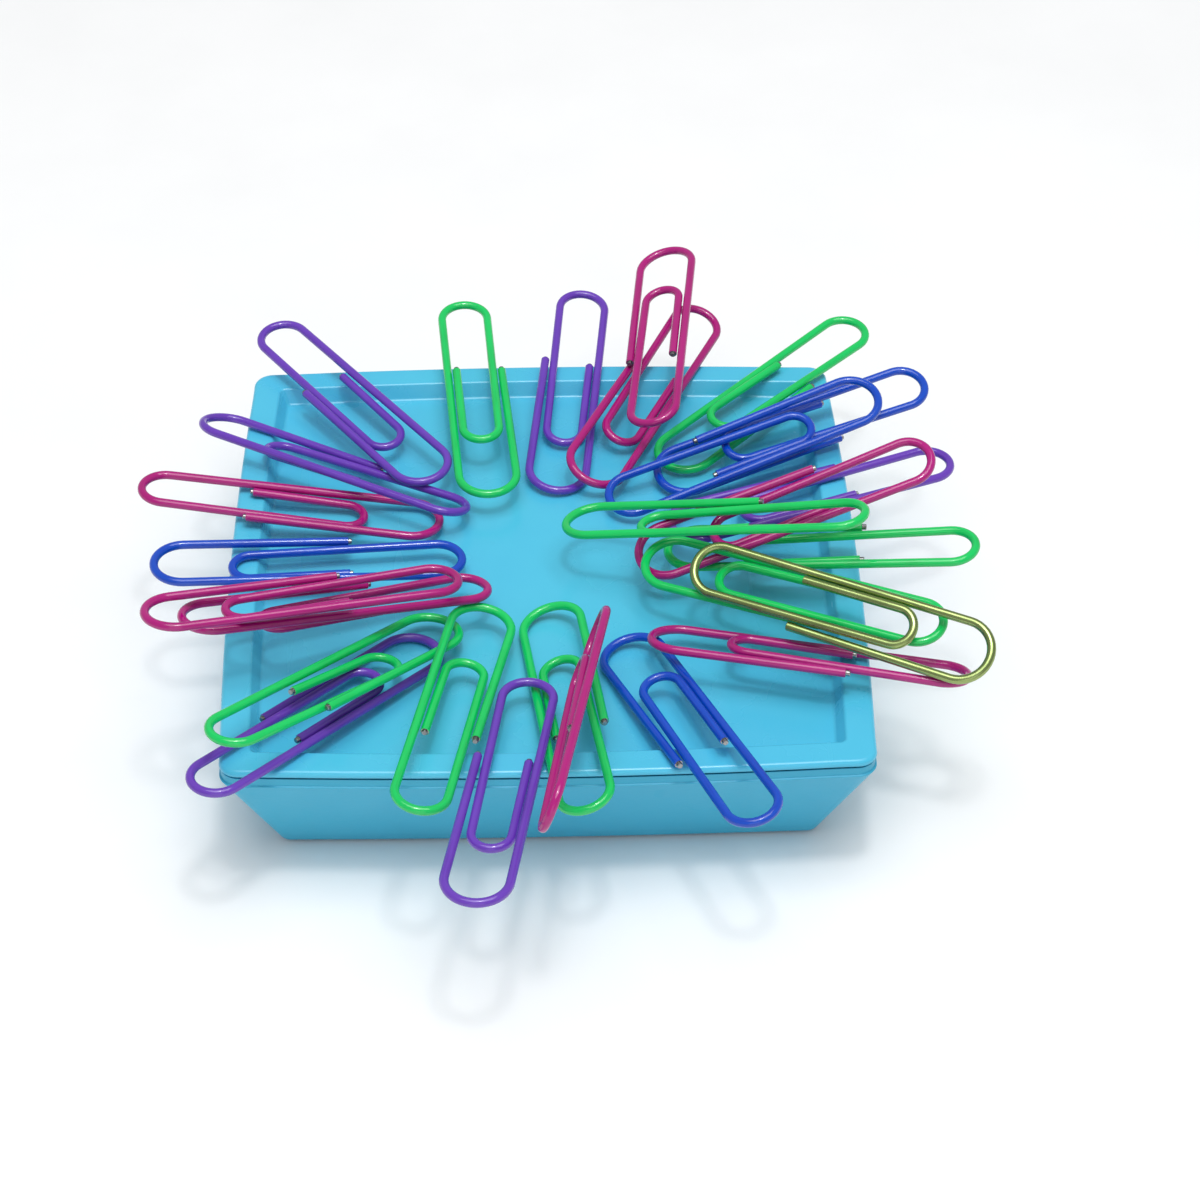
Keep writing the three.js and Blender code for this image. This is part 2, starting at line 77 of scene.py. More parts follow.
class Bench:
    """Places and joins the nodes of one material or one node group.

    A Mix node has sockets for each kind of value. The numbers here are those for colours.
    """

    MIX_FIRST, MIX_SECOND, MIX_RESULT = 6, 7, 2

    def __init__(self, tree: bpy.types.NodeTree) -> None:
        """Takes the tree that the nodes go into."""
        self.tree = tree

    def add(self, kind: str, inputs: dict | None = None, **settings: object) -> bpy.types.Node:
        """Adds a node.

        Args:
            kind: The node's type name.
            inputs: Socket name or number to a value, or to a socket that feeds it.
            settings: The node's own properties.

        Returns:
            The new node.
        """
        node = self.tree.nodes.new(kind)
        for name, value in settings.items():
            setattr(node, name, value)
        for name, value in (inputs or {}).items():
            if isinstance(value, Socket):
                self.tree.links.new(value, node.inputs[name])
            else:
                node.inputs[name].default_value = value
        return node

    def maths(self, operation: str, *values: Socket | float) -> Socket:
        """Adds a Math node on two or three values."""
        return self.add("ShaderNodeMath", dict(enumerate(values)), operation=operation).outputs[0]

    def object_place(self) -> Socket:
        """Gives the place of the shaded point on its object."""
        return self.add("ShaderNodeTexCoord").outputs["Object"]

    def wire_place(self) -> Socket:
        """Gives the place of the shaded point round and along a wire."""
        return self.add("ShaderNodeAttribute", attribute_name=WIRE_SKIN).outputs["Vector"]

    def noise(self, vector: Socket, scale: Socket | float, layers: int, rough: float) -> Socket:
        """Adds a noise pattern.

        Args:
            vector: Where the pattern is read.
            scale: Its frequency.
            layers: Number of finer layers.
            rough: Strength of the finer layers.

        Returns:
            The pattern's value, 0 to 1.
        """
        inputs = {"Vector": vector, "Scale": scale, "Detail": layers, "Roughness": rough}
        return self.add("ShaderNodeTexNoise", inputs).outputs["Fac"]

    def ramp(self, value: Socket, low: float, high: float,
             start: Socket | float, end: Socket | float) -> Socket:
        """Maps a value from one range to another and keeps it inside.

        Args:
            value: The value to map.
            low: Where the first range starts.
            high: Where the first range ends.
            start: What low becomes.
            end: What high becomes.

        Returns:
            The mapped value.
        """
        inputs = {"Value": value, "From Min": low, "From Max": high,
                  "To Min": start, "To Max": end}
        return self.add("ShaderNodeMapRange", inputs).outputs["Result"]

    def tint(self, share: Socket, first: Colour, second: Colour) -> Socket:
        """Mixes two colours.

        Args:
            share: 0 for the first colour, 1 for the second.
            first: The first colour.
            second: The second colour.

        Returns:
            The mixed colour.
        """
        node = self.add("ShaderNodeMix", data_type="RGBA")
        self.tree.links.new(share, node.inputs["Factor"])
        node.inputs[self.MIX_FIRST].default_value = (*first, 1)
        node.inputs[self.MIX_SECOND].default_value = (*second, 1)
        return node.outputs[self.MIX_RESULT]


@dataclass(frozen=True)
class Effect:
    """A surface effect that several finishes share, made once as a node group."""

    name: str
    inputs: tuple[tuple[str, float], ...]
    output: str = "Value"

    def group(self) -> bpy.types.NodeTree:
        """Finds the effect's node group, or makes it.

        Returns:
            The node group.
        """
        found = bpy.data.node_groups.get(self.name)
        if found:
            return found
        tree = bpy.data.node_groups.new(self.name, "ShaderNodeTree")
        tree.interface.new_socket("Vector", in_out="INPUT", socket_type="NodeSocketVector")
        for name, value in self.inputs:
            socket = tree.interface.new_socket(name, in_out="INPUT", socket_type=FLOAT)
            socket.default_value = value
        tree.interface.new_socket(self.output, in_out="OUTPUT", socket_type=FLOAT)
        bench = Bench(tree)
        entry = bench.add("NodeGroupInput")
        result = self.wire(bench, entry.outputs)
        bench.add("NodeGroupOutput", {self.output: result})
        return tree

    def wire(self, bench: Bench, entry: bpy.types.NodeOutputs) -> Socket:
        """Builds the effect inside its group.

        Args:
            bench: The group's bench.
            entry: The sockets that bring the group's inputs.

        Returns:
            The socket that leaves the group.
        """
        raise NotImplementedError

    def place(self, bench: Bench, vector: Socket, **values: float) -> Socket:
        """Puts the effect into a material.

        Args:
            bench: The material's bench.
            vector: Where the effect is read.
            values: Input values by name.

        Returns:
            The effect's output.
        """
        node = bench.add("ShaderNodeGroup", node_tree=self.group())
        bench.tree.links.new(vector, node.inputs["Vector"])
        for name, value in values.items():
            node.inputs[name].default_value = value
        return node.outputs[self.output]


class MouldGrain(Effect):
    """Fine spark-eroded grain that a mould leaves on plastic."""

    LAYERS = 3
    LAYER_STRENGTH = 0.6

    def wire(self, bench: Bench, entry: bpy.types.NodeOutputs) -> Socket:
        """Adds a pitted pattern to a fine noise.

        Args:
            bench: The group's bench.
            entry: The sockets that bring the group's inputs.

        Returns:
            The grain's height.
        """
        fine = bench.noise(entry["Vector"], entry["Scale"], self.LAYERS, self.LAYER_STRENGTH)
        inputs = {"Vector": entry["Vector"], "Scale": entry["Scale"]}
        pits = bench.add("ShaderNodeTexVoronoi", inputs, feature="SMOOTH_F1")
        both = bench.maths("ADD", fine, pits.outputs["Distance"])
        return bench.maths("MULTIPLY", both, entry["Depth"])


class CloudyTone(Effect):
    """Slow, soft variation of tone over a surface."""

    LAYERS = 4
    LAYER_STRENGTH = 0.55
    DARKEST, LIGHTEST = 0.3, 0.7

    def wire(self, bench: Bench, entry: bpy.types.NodeOutputs) -> Socket:
        """Spreads a broad noise between the two given values."""
        broad = bench.noise(entry["Vector"], entry["Scale"], self.LAYERS, self.LAYER_STRENGTH)
        return bench.ramp(broad, self.DARKEST, self.LIGHTEST, entry["Low"], entry["High"])


class HairScuffs(Effect):
    """Faint hairline scuffs that cross at an angle."""

    ANGLES = (0.5, -0.9)
    STRETCH = (1, 0.03, 1)
    LAYERS = 2
    LAYER_STRENGTH = 0.5
    THIN, FULL = 0.68, 0.74

    def wire(self, bench: Bench, entry: bpy.types.NodeOutputs) -> Socket:
        """Keeps the peaks of two stretched noises that lie across each other.

        Args:
            bench: The group's bench.
            entry: The sockets that bring the group's inputs.

        Returns:
            The scuffs, 0 between them.
        """
        lines = []
        for angle in self.ANGLES:
            inputs = {"Vector": entry["Vector"], "Rotation": (0, 0, angle), "Scale": self.STRETCH}
            laid = bench.add("ShaderNodeMapping", inputs).outputs[0]
            value = bench.noise(laid, entry["Scale"], self.LAYERS, self.LAYER_STRENGTH)
            lines.append(bench.ramp(value, self.THIN, self.FULL, 0.0, 1.0))
        return bench.maths("MULTIPLY", bench.maths("MAXIMUM", *lines), entry["Amount"])


class DrawnStreaks(Effect):
    """Streaks along a wire, from the die that drew it or the coating that ran along it."""

    STRETCH = (1, 1, 0.5)
    LAYERS = 3
    LAYER_STRENGTH = 0.6
    FAINT, FULL = 0.35, 0.65

    def wire(self, bench: Bench, entry: bpy.types.NodeOutputs) -> Socket:
        """Reads noise that is stretched along the wire's run.

        Args:
            bench: The group's bench.
            entry: The sockets that bring the group's inputs.

        Returns:
            The streaks, from 0 to the given amount.
        """
        inputs = {"Vector": entry["Vector"], "Scale": self.STRETCH}
        laid = bench.add("ShaderNodeMapping", inputs).outputs[0]
        value = bench.noise(laid, entry["Scale"], self.LAYERS, self.LAYER_STRENGTH)
        return bench.ramp(value, self.FAINT, self.FULL, 0.0, entry["Amount"])


GRAIN = MouldGrain("mould_grain", (("Scale", 900.0), ("Depth", 1.0)), "Height")
TONE = CloudyTone("cloudy_tone", (("Scale", 30.0), ("Low", 0.0), ("High", 1.0)))
SCUFFS = HairScuffs("hair_scuffs", (("Scale", 200.0), ("Amount", 1.0)))
STREAKS = DrawnStreaks("drawn_streaks", (("Scale", 3.0), ("Amount", 1.0)))


@dataclass(frozen=True)
class Finish:
    """What every finish has: a name, a colour, a darker companion and a roughness."""

    name: str
    colour: Colour
    second: Colour
    roughness: float

    def material(self) -> bpy.types.Material:
        """Finds the finish's material, or makes it.

        Returns:
            The material.
        """
        found = bpy.data.materials.get(self.name)
        if found:
            return found
        made = bpy.data.materials.new(self.name)
        made.use_nodes = True
        made.node_tree.nodes.clear()
        bench = Bench(made.node_tree)
        shader = bench.add("ShaderNodeBsdfPrincipled")
        bench.add("ShaderNodeOutputMaterial", {"Surface": shader.outputs[0]})
        self.dress(bench, shader)
        return made

    def dress(self, bench: Bench, shader: bpy.types.Node) -> None:
        """Feeds the shader.

        Args:
            bench: The material's bench.
            shader: Its Principled shader.
        """
        raise NotImplementedError

    def feed(self, bench: Bench, shader: bpy.types.Node, share: Socket,
             gloss: Socket, height: Socket, depth: float) -> None:
        """Gives the shader its colour, roughness and relief.

        Args:
            bench: The material's bench.
            shader: Its Principled shader.
            share: Where the colour goes over to its companion.
            gloss: The roughness.
            height: The relief, in shares of depth.
            depth: How deep a relief of 1 is, in metres.
        """
        relief = {"Height": height, "Distance": depth, "Strength": 1.0}
        sockets = {
            "Base Color": bench.tint(share, self.colour, self.second),
            "Roughness": gloss,
            "Normal": bench.add("ShaderNodeBump", relief).outputs[0],
        }
        for name, socket in sockets.items():
            bench.tree.links.new(socket, shader.inputs[name])


@dataclass(frozen=True)
class MouldedPlastic(Finish):
    """Injection-moulded plastic with mould grain and light scuffs."""

    grain: float = 900
    depth: float = 4 * MICRON
    scuffed: float = 0.5

    TONE_SCALE, SCUFF_SCALE, GLOSS_SCALE = 26.0, 240.0, 60.0
    GLOSSIER, DULLER, DULLED_BY_SCUFFS = 0.05, 0.06, 0.12
    IOR = 1.49

    def dress(self, bench: Bench, shader: bpy.types.Node) -> None:
        """Varies tone and gloss, and adds grain.

        Args:
            bench: The material's bench.
            shader: Its Principled shader.
        """
        where = bench.object_place()
        tone = TONE.place(bench, where, Scale=self.TONE_SCALE)
        scuffs = SCUFFS.place(bench, where, Scale=self.SCUFF_SCALE, Amount=self.scuffed)
        gloss = TONE.place(bench, where, Scale=self.GLOSS_SCALE,
                           Low=self.roughness - self.GLOSSIER,
                           High=self.roughness + self.DULLER)
        worn = bench.maths("MULTIPLY_ADD", scuffs, self.DULLED_BY_SCUFFS, gloss)
        grain = GRAIN.place(bench, where, Scale=self.grain)
        self.feed(bench, shader, tone, worn, grain, self.depth)
        shader.inputs["IOR"].default_value = self.IOR


@dataclass(frozen=True)
class CoatedWire(Finish):
    """Glossy plastic skin on a wire, slightly uneven along its run."""

    peel_depth: float = 2 * MICRON

    STREAK_SCALE, TONE_SCALE = 2.2, 120.0
    GLOSSIER, DULLER = 0.04, 0.07
    PEEL_SCALE, PEEL_LAYERS, PEEL_STRENGTH = 700.0, 2, 0.5
    IOR, SPECULAR = 1.5, 0.65

    def dress(self, bench: Bench, shader: bpy.types.Node) -> None:
        """Varies tone and gloss along the wire and adds a soft orange-peel.

        Args:
            bench: The material's bench.
            shader: Its Principled shader.
        """
        where = bench.object_place()
        streaks = STREAKS.place(bench, bench.wire_place(), Scale=self.STREAK_SCALE, Amount=1.0)
        tone = TONE.place(bench, where, Scale=self.TONE_SCALE)
        both = bench.maths("MULTIPLY", streaks, tone)
        gloss = bench.ramp(streaks, 0.0, 1.0, self.roughness - self.GLOSSIER,
                           self.roughness + self.DULLER)
        peel = bench.noise(where, self.PEEL_SCALE, self.PEEL_LAYERS, self.PEEL_STRENGTH)
        height = bench.maths("ADD", peel, streaks)
        self.feed(bench, shader, both, gloss, height, self.peel_depth)
        shader.inputs["IOR"].default_value = self.IOR
        shader.inputs["Specular IOR Level"].default_value = self.SPECULAR


@dataclass(frozen=True)
class BareMetal(Finish):
    """Bright drawn or turned metal."""

    streaky: float = 1.0
    depth: float = 4 * MICRON

    STREAK_SCALE, TONE_SCALE = 4.0, 200.0
    GLOSSIER, DULLER = 0.05, 0.12
    FINE_SCALE, FINE_LAYERS, FINE_STRENGTH = 2500.0, 2, 0.5

    def dress(self, bench: Bench, shader: bpy.types.Node) -> None:
        """Varies tone and gloss in streaks along the wire.

        Args:
            bench: The material's bench.
            shader: Its Principled shader.
        """
        where = bench.object_place()
        streaks = STREAKS.place(bench, bench.wire_place(), Scale=self.STREAK_SCALE,
                                Amount=self.streaky)
        tone = TONE.place(bench, where, Scale=self.TONE_SCALE)
        both = bench.maths("MULTIPLY", streaks, tone)
        gloss = bench.ramp(both, 0.0, 1.0, self.roughness - self.GLOSSIER,
                           self.roughness + self.DULLER)
        fine = bench.noise(where, self.FINE_SCALE, self.FINE_LAYERS, self.FINE_STRENGTH)
        height = bench.maths("ADD", fine, streaks)
        self.feed(bench, shader, both, gloss, height, self.depth)
        shader.inputs["Metallic"].default_value = 1.0


@dataclass(frozen=True)
class PorousSolid(Finish):
    """Foam, foam rubber or sintered ferrite, with open or closed pores."""

    pores: float = 900
    depth: float = 60 * MICRON

    TONE_SCALE = 80.0
    PORE_EDGE = 0.5
    GLOSSIER = 0.05

    def dress(self, bench: Bench, shader: bpy.types.Node) -> None:
        """Adds pores whose floors keep the first colour, and a broad tone that brings in the
        darker one between them.

        Args:
            bench: The material's bench.
            shader: Its Principled shader.
        """
        where = bench.object_place()
        inputs = {"Vector": where, "Scale": self.pores}
        cells = bench.add("ShaderNodeTexVoronoi", inputs).outputs["Distance"]
        tone = TONE.place(bench, where, Scale=self.TONE_SCALE)
        pits = bench.ramp(cells, 0.0, self.PORE_EDGE, 0.0, 1.0)
        both = bench.maths("MULTIPLY", pits, tone)
        gloss = bench.ramp(tone, 0.0, 1.0, self.roughness - self.GLOSSIER, self.roughness)
        self.feed(bench, shader, both, gloss, pits, self.depth)


class Coating(Enum):
    """The clips' colours, each with its finish."""

    MAGENTA = CoatedWire("coating_magenta", srgb(178, 14, 122), srgb(156, 8, 104), 0.1)
    PURPLE = CoatedWire("coating_purple", srgb(108, 62, 184), srgb(92, 46, 166), 0.1)
    BLUE = CoatedWire("coating_blue", srgb(6, 76, 196), srgb(4, 56, 172), 0.1)
    GREEN = CoatedWire("coating_green", srgb(8, 206, 100), srgb(4, 180, 82), 0.1)
    GOLD = BareMetal("brass_plating", srgb(164, 182, 118), srgb(116, 132, 76), 0.27,
                     depth=0.6 * MICRON)


class Housing(Enum):
    """Finishes of the case, of what is in it, and of the wires' bare ends."""

    TRAY = MouldedPlastic("sky_blue_gloss", srgb(84, 197, 228), srgb(74, 188, 223), 0.26)
    BASE = MouldedPlastic("sky_blue_satin", srgb(63, 181, 213), srgb(53, 169, 203), 0.44,
                          grain=1500, depth=12 * MICRON)
    STEEL = BareMetal("bare_steel", srgb(168, 168, 168), srgb(92, 92, 94), 0.28)
    SCREW = BareMetal("zinc_plate", srgb(190, 192, 196), srgb(150, 154, 160), 0.32, streaky=0.4)
    FERRITE = PorousSolid("sintered_ferrite", srgb(62, 61, 64), srgb(44, 43, 46), 0.6,
                          pores=1500, depth=20 * MICRON)
    FOAM = PorousSolid("closed_foam", srgb(74, 74, 78), srgb(42, 42, 45), 0.95,
                       pores=1100, depth=120 * MICRON)
    PAD = PorousSolid("black_foam_rubber", srgb(56, 57, 60), srgb(30, 31, 33), 0.9,
                      pores=1400, depth=80 * MICRON)


@dataclass(frozen=True)
class Outline:
    """A square outline with bowed sides and round corners, at one height, in millimetres."""

    height: float
    half: float
    bow: float
    corner: float
    fillet: float = 0.0
    side_cuts: int = 15
    corner_steps: int = 8

    SAME_PLACE = 1e-4

    def draw(self, bm: bmesh.types.BMesh, storey: float) -> list[bmesh.types.BMEdge]:
        """Draws the outline as a closed loop of edges.

        Args:
            bm: The mesh to draw in.
            storey: The height to draw at, until lower() brings the loop to its own height.

        Returns:
            The loop's edges.
        """
        flat = bmesh.new()
        reach = self.half - self.bow
        bmesh.ops.create_grid(flat, x_segments=1, y_segments=1, size=1)
        widest = max(v.co.x for v in flat.verts)
        bmesh.ops.scale(flat, vec=(reach / widest, reach / widest, 1), verts=flat.verts[:])
        bmesh.ops.subdivide_edges(flat, edges=flat.edges[:], cuts=self.side_cuts)
        corners = [v for v in flat.verts if abs(abs(v.co.x) - abs(v.co.y)) < self.SAME_PLACE]
        for v in set(flat.verts) - set(corners):
            out, along = (0, 1) if abs(v.co.x) > abs(v.co.y) else (1, 0)
            share = v.co[along] / (reach - self.corner)
            v.co[out] = math.copysign(self.half - self.bow * share ** 2, v.co[out])
        bmesh.ops.bevel(flat, geom=corners, offset=self.corner, offset_type="OFFSET",
                        affect="VERTICES", segments=self.corner_steps, profile=0.5, material=-1)
        bmesh.ops.translate(flat, vec=(0, 0, storey), verts=flat.verts[:])
        bmesh.ops.delete(flat, geom=flat.faces[:], context="FACES_ONLY")
        sketch = bpy.data.meshes.new("outline")
        flat.to_mesh(sketch)
        flat.free()
        before = len(bm.edges)
        bm.from_mesh(sketch)
        bpy.data.meshes.remove(sketch)
        bm.edges.ensure_lookup_table()
        return bm.edges[before:]

    def lower(self, loop: list[bmesh.types.BMEdge]) -> None:
        """Brings a drawn loop to the outline's own height."""
        for v in {v for edge in loop for v in edge.verts}:
            v.co.z = self.height


@dataclass
class Moulding:
    """A moulded shell lofted through outlines, with its edges rounded.

    The outlines are drawn and joined one storey apart, and only then brought to their own
    heights, because two loops at one height aren't always joined straight across.
    """

    name: str
    node: str
    slot: str
    finish: Housing
    outlines: list[Outline]
    round_steps: int = 4
    storey: float = 10.0

    def build(self) -> bpy.types.Object:
        """Builds the shell, dresses it and puts it in its CAD node's place.

        Returns:
            The shell.
        """
        bm = bmesh.new()
        weights = bm.edges.layers.float.new("bevel_weight_edge")
        largest = max(outline.fillet for outline in self.outlines)
        loops = [o.draw(bm, self.storey * level) for level, o in enumerate(self.outlines)]
        for first, second in zip(loops, loops[1:]):
            bmesh.ops.bridge_loops(bm, edges=first + second)
        for outline, loop in zip(self.outlines, loops):
            outline.lower(loop)
            for edge in loop:
                edge[weights] = outline.fillet / largest
        for end in (loops[0], loops[-1]):
            bmesh.ops.edgeloop_fill(bm, edges=end)
        bmesh.ops.recalc_face_normals(bm, faces=bm.faces[:])
        bmesh.ops.scale(bm, vec=(MM, MM, MM), verts=bm.verts[:])
        piece = finished(bm, self.name, [self.finish.value.material()])
        bevel = piece.modifiers.new("rounded_edges", "BEVEL")
        bevel.limit_method = "WEIGHT"
        bevel.width = largest * MM
        bevel.segments = self.round_steps
        bevel.harden_normals = True
        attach(piece, "cushion")
        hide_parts(self.node)
        return piece


@dataclass
class TrayCase:
    """The two shells of the case, in millimetres."""

    half: float = 50
    bow: float = 1.2
    corner: float = 2.8
    top: float = 22.3
    edge: float = 1.0
    rim: float = 4.4
    slope: float = 1.3
    floor: float = 19.8
    wall: float = 1.6
    plug_gap: float = 0.3
    plug_corner: float = 1.6
    recess_corner: float = 0.9
    floor_corner: float = 0.6
    under_fillet: float = 0.12
    rim_fillet: float = 0.8
    recess_fillet: float = 0.35
    floor_fillet: float = 0.45

    part_line: float = 0.42
    landing: float = 3.8
    landing_corner: float = 1.2
    band: float = 1.35
    band_inset: float = 0.15
    band_fillet: float = 0.05
    ledge: float = 0.15
    ledge_reach: float = 0.1
    ledge_fillet: float = 0.08
    lip_width: float = 0.15
    channel_width: float = 0.9
    channel_depth: float = 1.0

    foot: float = 0.3
    foot_half: float = 41.8
    foot_bow: float = 0.45
    foot_corner: float = 1.6
    foot_fillet: float = 0.5
    pad_half: float = 36.7
    pad_corner: float = 4
    pad_recess: float = 1.4
    pad_fillet: float = 0.3
    base_wall: float = 2
    base_floor_corner: float = 1.0

    def side(self, height: float, half: float, corner: float | None = None,
             fillet: float = 0.0) -> Outline:
        """Gives an outline with the tray's own bow, and its own corners unless told otherwise."""
        return Outline(height, half, self.bow, self.corner if corner is None else corner, fillet)

    def tray(self) -> Moulding:
        """Describes the upper shell, from under its floor round its rim into the recess.

        Returns:
            The upper shell.
        """
        under = self.top - self.edge
        recess = self.rim + self.slope
        plug = self.half - (self.landing + self.plug_gap)
        bottom = self.half - (recess - self.wall / 2)
        return Moulding("tray_moulding", "tray_top", "tray_plastic", Housing.TRAY, [
            self.side(self.floor - self.wall, bottom, self.plug_corner),
            self.side(self.floor, plug, self.plug_corner),
            self.side(under, plug, self.plug_corner),
            self.side(under, self.half, fillet=self.under_fillet),
            self.side(self.top, self.half, fillet=self.rim_fillet),
            self.side(self.top, self.half - self.rim, self.recess_corner, self.recess_fillet),
            self.side(self.floor, self.half - recess, self.floor_corner, self.floor_fillet),
        ])

    def base(self) -> Moulding:
        """Describes the lower shell, from the pad's recess up its outer walls to its floor.

        Returns:
            The lower shell.
        """
        high = self.top - self.edge - self.part_line
        ledge = high - self.band
        shoulder = ledge - self.ledge
        face = self.half - self.band_inset
        lip = face - self.lip_width
        channel = high - self.channel_depth
        land = self.half - self.landing
        lean = (self.half + self.ledge_reach - self.foot_half) / (shoulder - self.foot)
        inner = self.base_wall * math.hypot(1, lean)
        knee = self.foot + (land + inner - self.foot_half) / lean
        floor = self.pad_recess + self.base_wall
        floor_half = self.foot_half + (floor - self.foot) * lean - inner
        return Moulding("base_moulding", "base_shell", "base_plastic", Housing.BASE, [
            Outline(self.pad_recess, self.pad_half, self.foot_bow, self.pad_corner),
            Outline(self.foot, self.pad_half, self.foot_bow, self.pad_corner, self.pad_fillet),
            Outline(self.foot, self.foot_half, self.foot_bow, self.foot_corner, self.foot_fillet),
            self.side(shoulder, self.half + self.ledge_reach, fillet=self.ledge_fillet),
            self.side(ledge, face),
            self.side(high, face, fillet=self.band_fillet),
            self.side(high, lip),
            self.side(channel, lip),
            self.side(channel, lip - self.channel_width),
            self.side(high, lip - self.channel_width),
            self.side(high, land, self.landing_corner),
            self.side(knee, land, self.landing_corner),
            Outline(floor, floor_half, self.foot_bow, self.base_floor_corner),
        ])

    def build(self) -> None:
        """Builds both shells."""
        for moulding in (self.tray(), self.base()):
            moulding.build()


@dataclass
class WirePath:
    """The middle line of one clip's wire, traced on the clip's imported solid."""

    node: str
    bends: int = 3
    bend_steps: int = 7
    fine_steps: int = 20
    leg_steps: int = 6

    SAME_PLACE = 1e-6
    SAME_PLANE = math.radians(1)
    SIDE_CORNERS = 4

    def centres(self) -> list[Vector]:
        """Follows the solid from one cut end to the other.

        Returns:
            The middle of each ring of corners, in order, starting at the wide loop's cut end.
        """
        bm = bmesh.new()
        bm.from_mesh(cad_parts[self.node].data)
        bmesh.ops.remove_doubles(bm, verts=bm.verts[:], dist=self.SAME_PLACE)
        bmesh.ops.dissolve_limit(bm, angle_limit=self.SAME_PLANE, verts=bm.verts[:],
                                 edges=bm.edges[:])
        cap = next(face for face in bm.faces if len(face.verts) > self.SIDE_CORNERS)
        ring = list(cap.verts)
        seen: set[bmesh.types.BMVert] = set()
        out = []
        while ring:
            out.append(sum((v.co for v in ring), Vector()) / len(ring))
            seen.update(ring)
            ring = list({edge.other_vert(v) for v in ring for edge in v.link_edges
                         if edge.other_vert(v) not in seen})
        bm.free()
        first_bend = (out[1] - out[self.bend_steps + 1]).length
        last_bend = (out[-2] - out[-self.bend_steps - 2]).length
        if first_bend < last_bend:
            out.reverse()
        return out

    def points(self) -> list[Vector]:
        """Smooths the traced line.

        Returns:
            Points along the wire, close together in the bends.
        """
        rings = self.centres()
        line = [rings[0]]
        for bend in range(self.bends):
            start = 1 + bend * (self.bend_steps + 1)
            part = rings[start:start + self.bend_steps + 1]
            middle = (part[0] + part[-1]) / 2
            side = part[0] - middle
            crown = Vector()
            for i in range(1, self.bend_steps):
                angle = math.pi * i / self.bend_steps
                crown += (part[i] - middle - side * math.cos(angle)) / math.sin(angle)
            crown /= self.bend_steps - 1
            self.add_leg(line, part[0])
            for i in range(self.fine_steps + 1):
                angle = math.pi * i / self.fine_steps
                line.append(middle + side * math.cos(angle) + crown * math.sin(angle))
        self.add_leg(line, rings[-1])
        line.append(rings[-1])
        return line

    def add_leg(self, line: list[Vector], end: Vector) -> None:
        """Adds the inner points of a straight leg, from the line's last point to its end."""
        start = line[-1].copy()
        line.extend(start.lerp(end, i / self.leg_steps) for i in range(1, self.leg_steps))


@dataclass(frozen=True)
class Ring:
    """One ring of a swept wire: its place, its direction, its size and what covers it."""

    middle: Vector
    way: Vector
    radius: float
    run: float
    coated: bool


